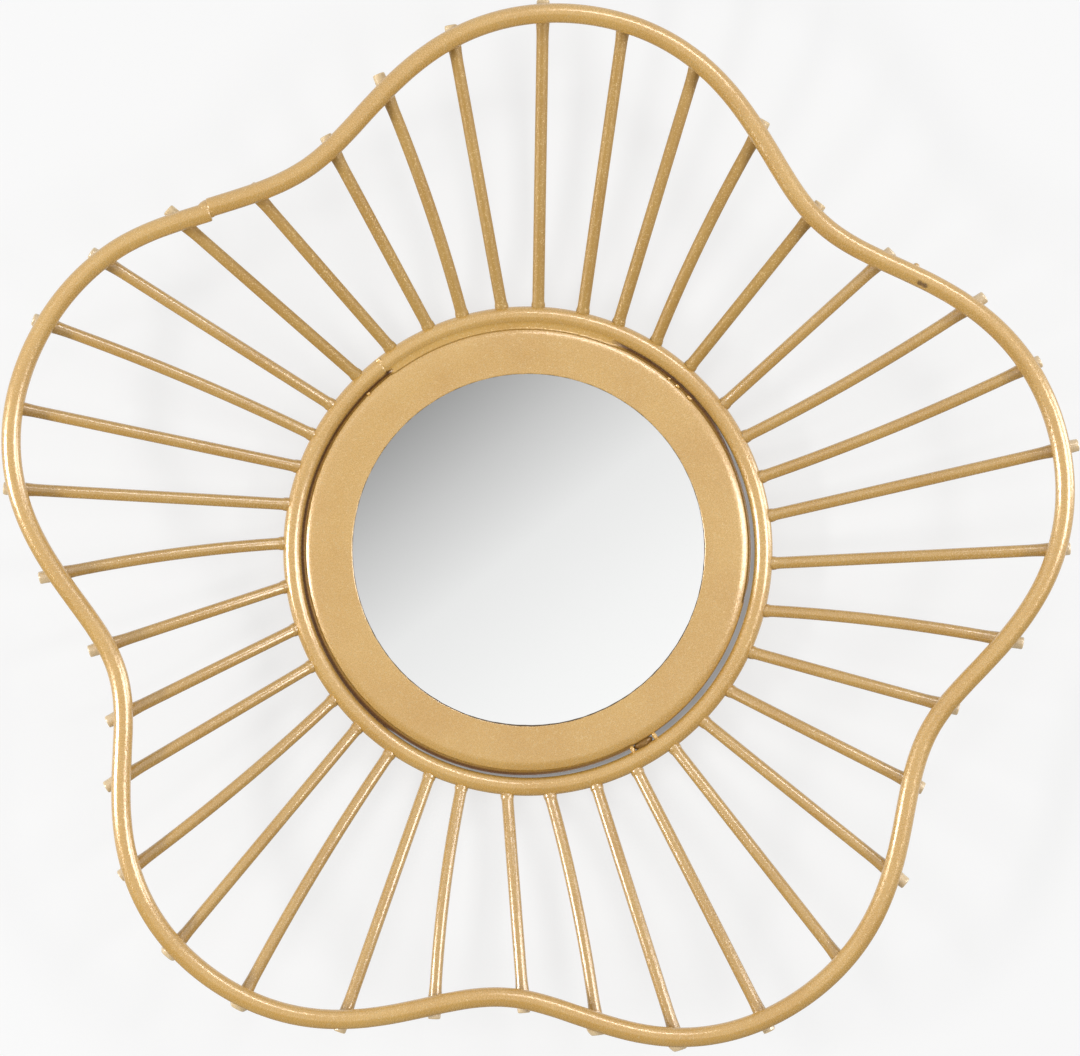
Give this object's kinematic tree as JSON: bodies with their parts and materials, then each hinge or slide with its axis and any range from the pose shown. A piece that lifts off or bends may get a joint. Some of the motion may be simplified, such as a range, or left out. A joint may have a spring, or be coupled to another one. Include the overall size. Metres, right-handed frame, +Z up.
{
  "type": "wall mirror",
  "caption": "Small round wall mirror in a flat gold frame, ringed by thin metal spokes that end on a wavy rod bent into flower petals; hangs flat on a wall.",
  "frame": {"origin": "middle of the back board's flat rear face, which lies on the wall", "axes": "+Y out of the back, into the wall; the mirror looks towards -Y; +Z up as it hangs; +X to the right as seen from in front"},
  "size_m": [0.2657, 0.0264, 0.2596],
  "materials": {
    "gold_paint": "gold metallic paint with a fine glitter flake, satin",
    "mirror": "silvered glass, polished",
    "board": "plain brown fibreboard, matt",
    "loop_steel": "plain drawn wire"
  },
  "bodies": {
    "root": {"back_board": "board", "mirror_glass": "mirror", "mirror_frame": "gold_paint", "hanging_loop": "loop_steel", "hub_ring": "gold_paint", "spoke_01": "gold_paint", "spoke_02": "gold_paint", "spoke_03": "gold_paint", "spoke_04": "gold_paint", "spoke_05": "gold_paint", "spoke_06": "gold_paint", "spoke_07": "gold_paint", "spoke_08": "gold_paint", "spoke_09": "gold_paint", "spoke_10": "gold_paint", "spoke_11": "gold_paint", "spoke_12": "gold_paint", "spoke_13": "gold_paint", "spoke_14": "gold_paint", "spoke_15": "gold_paint", "spoke_16": "gold_paint", "spoke_17": "gold_paint", "spoke_18": "gold_paint", "spoke_19": "gold_paint", "spoke_20": "gold_paint", "spoke_21": "gold_paint", "spoke_22": "gold_paint", "spoke_23": "gold_paint", "spoke_24": "gold_paint", "spoke_25": "gold_paint", "spoke_26": "gold_paint", "spoke_27": "gold_paint", "spoke_28": "gold_paint", "spoke_29": "gold_paint", "spoke_30": "gold_paint", "spoke_31": "gold_paint", "spoke_32": "gold_paint", "spoke_33": "gold_paint", "spoke_34": "gold_paint", "spoke_35": "gold_paint", "spoke_36": "gold_paint", "spoke_37": "gold_paint", "petal_wire": "gold_paint"}
  },
  "joints": []
}
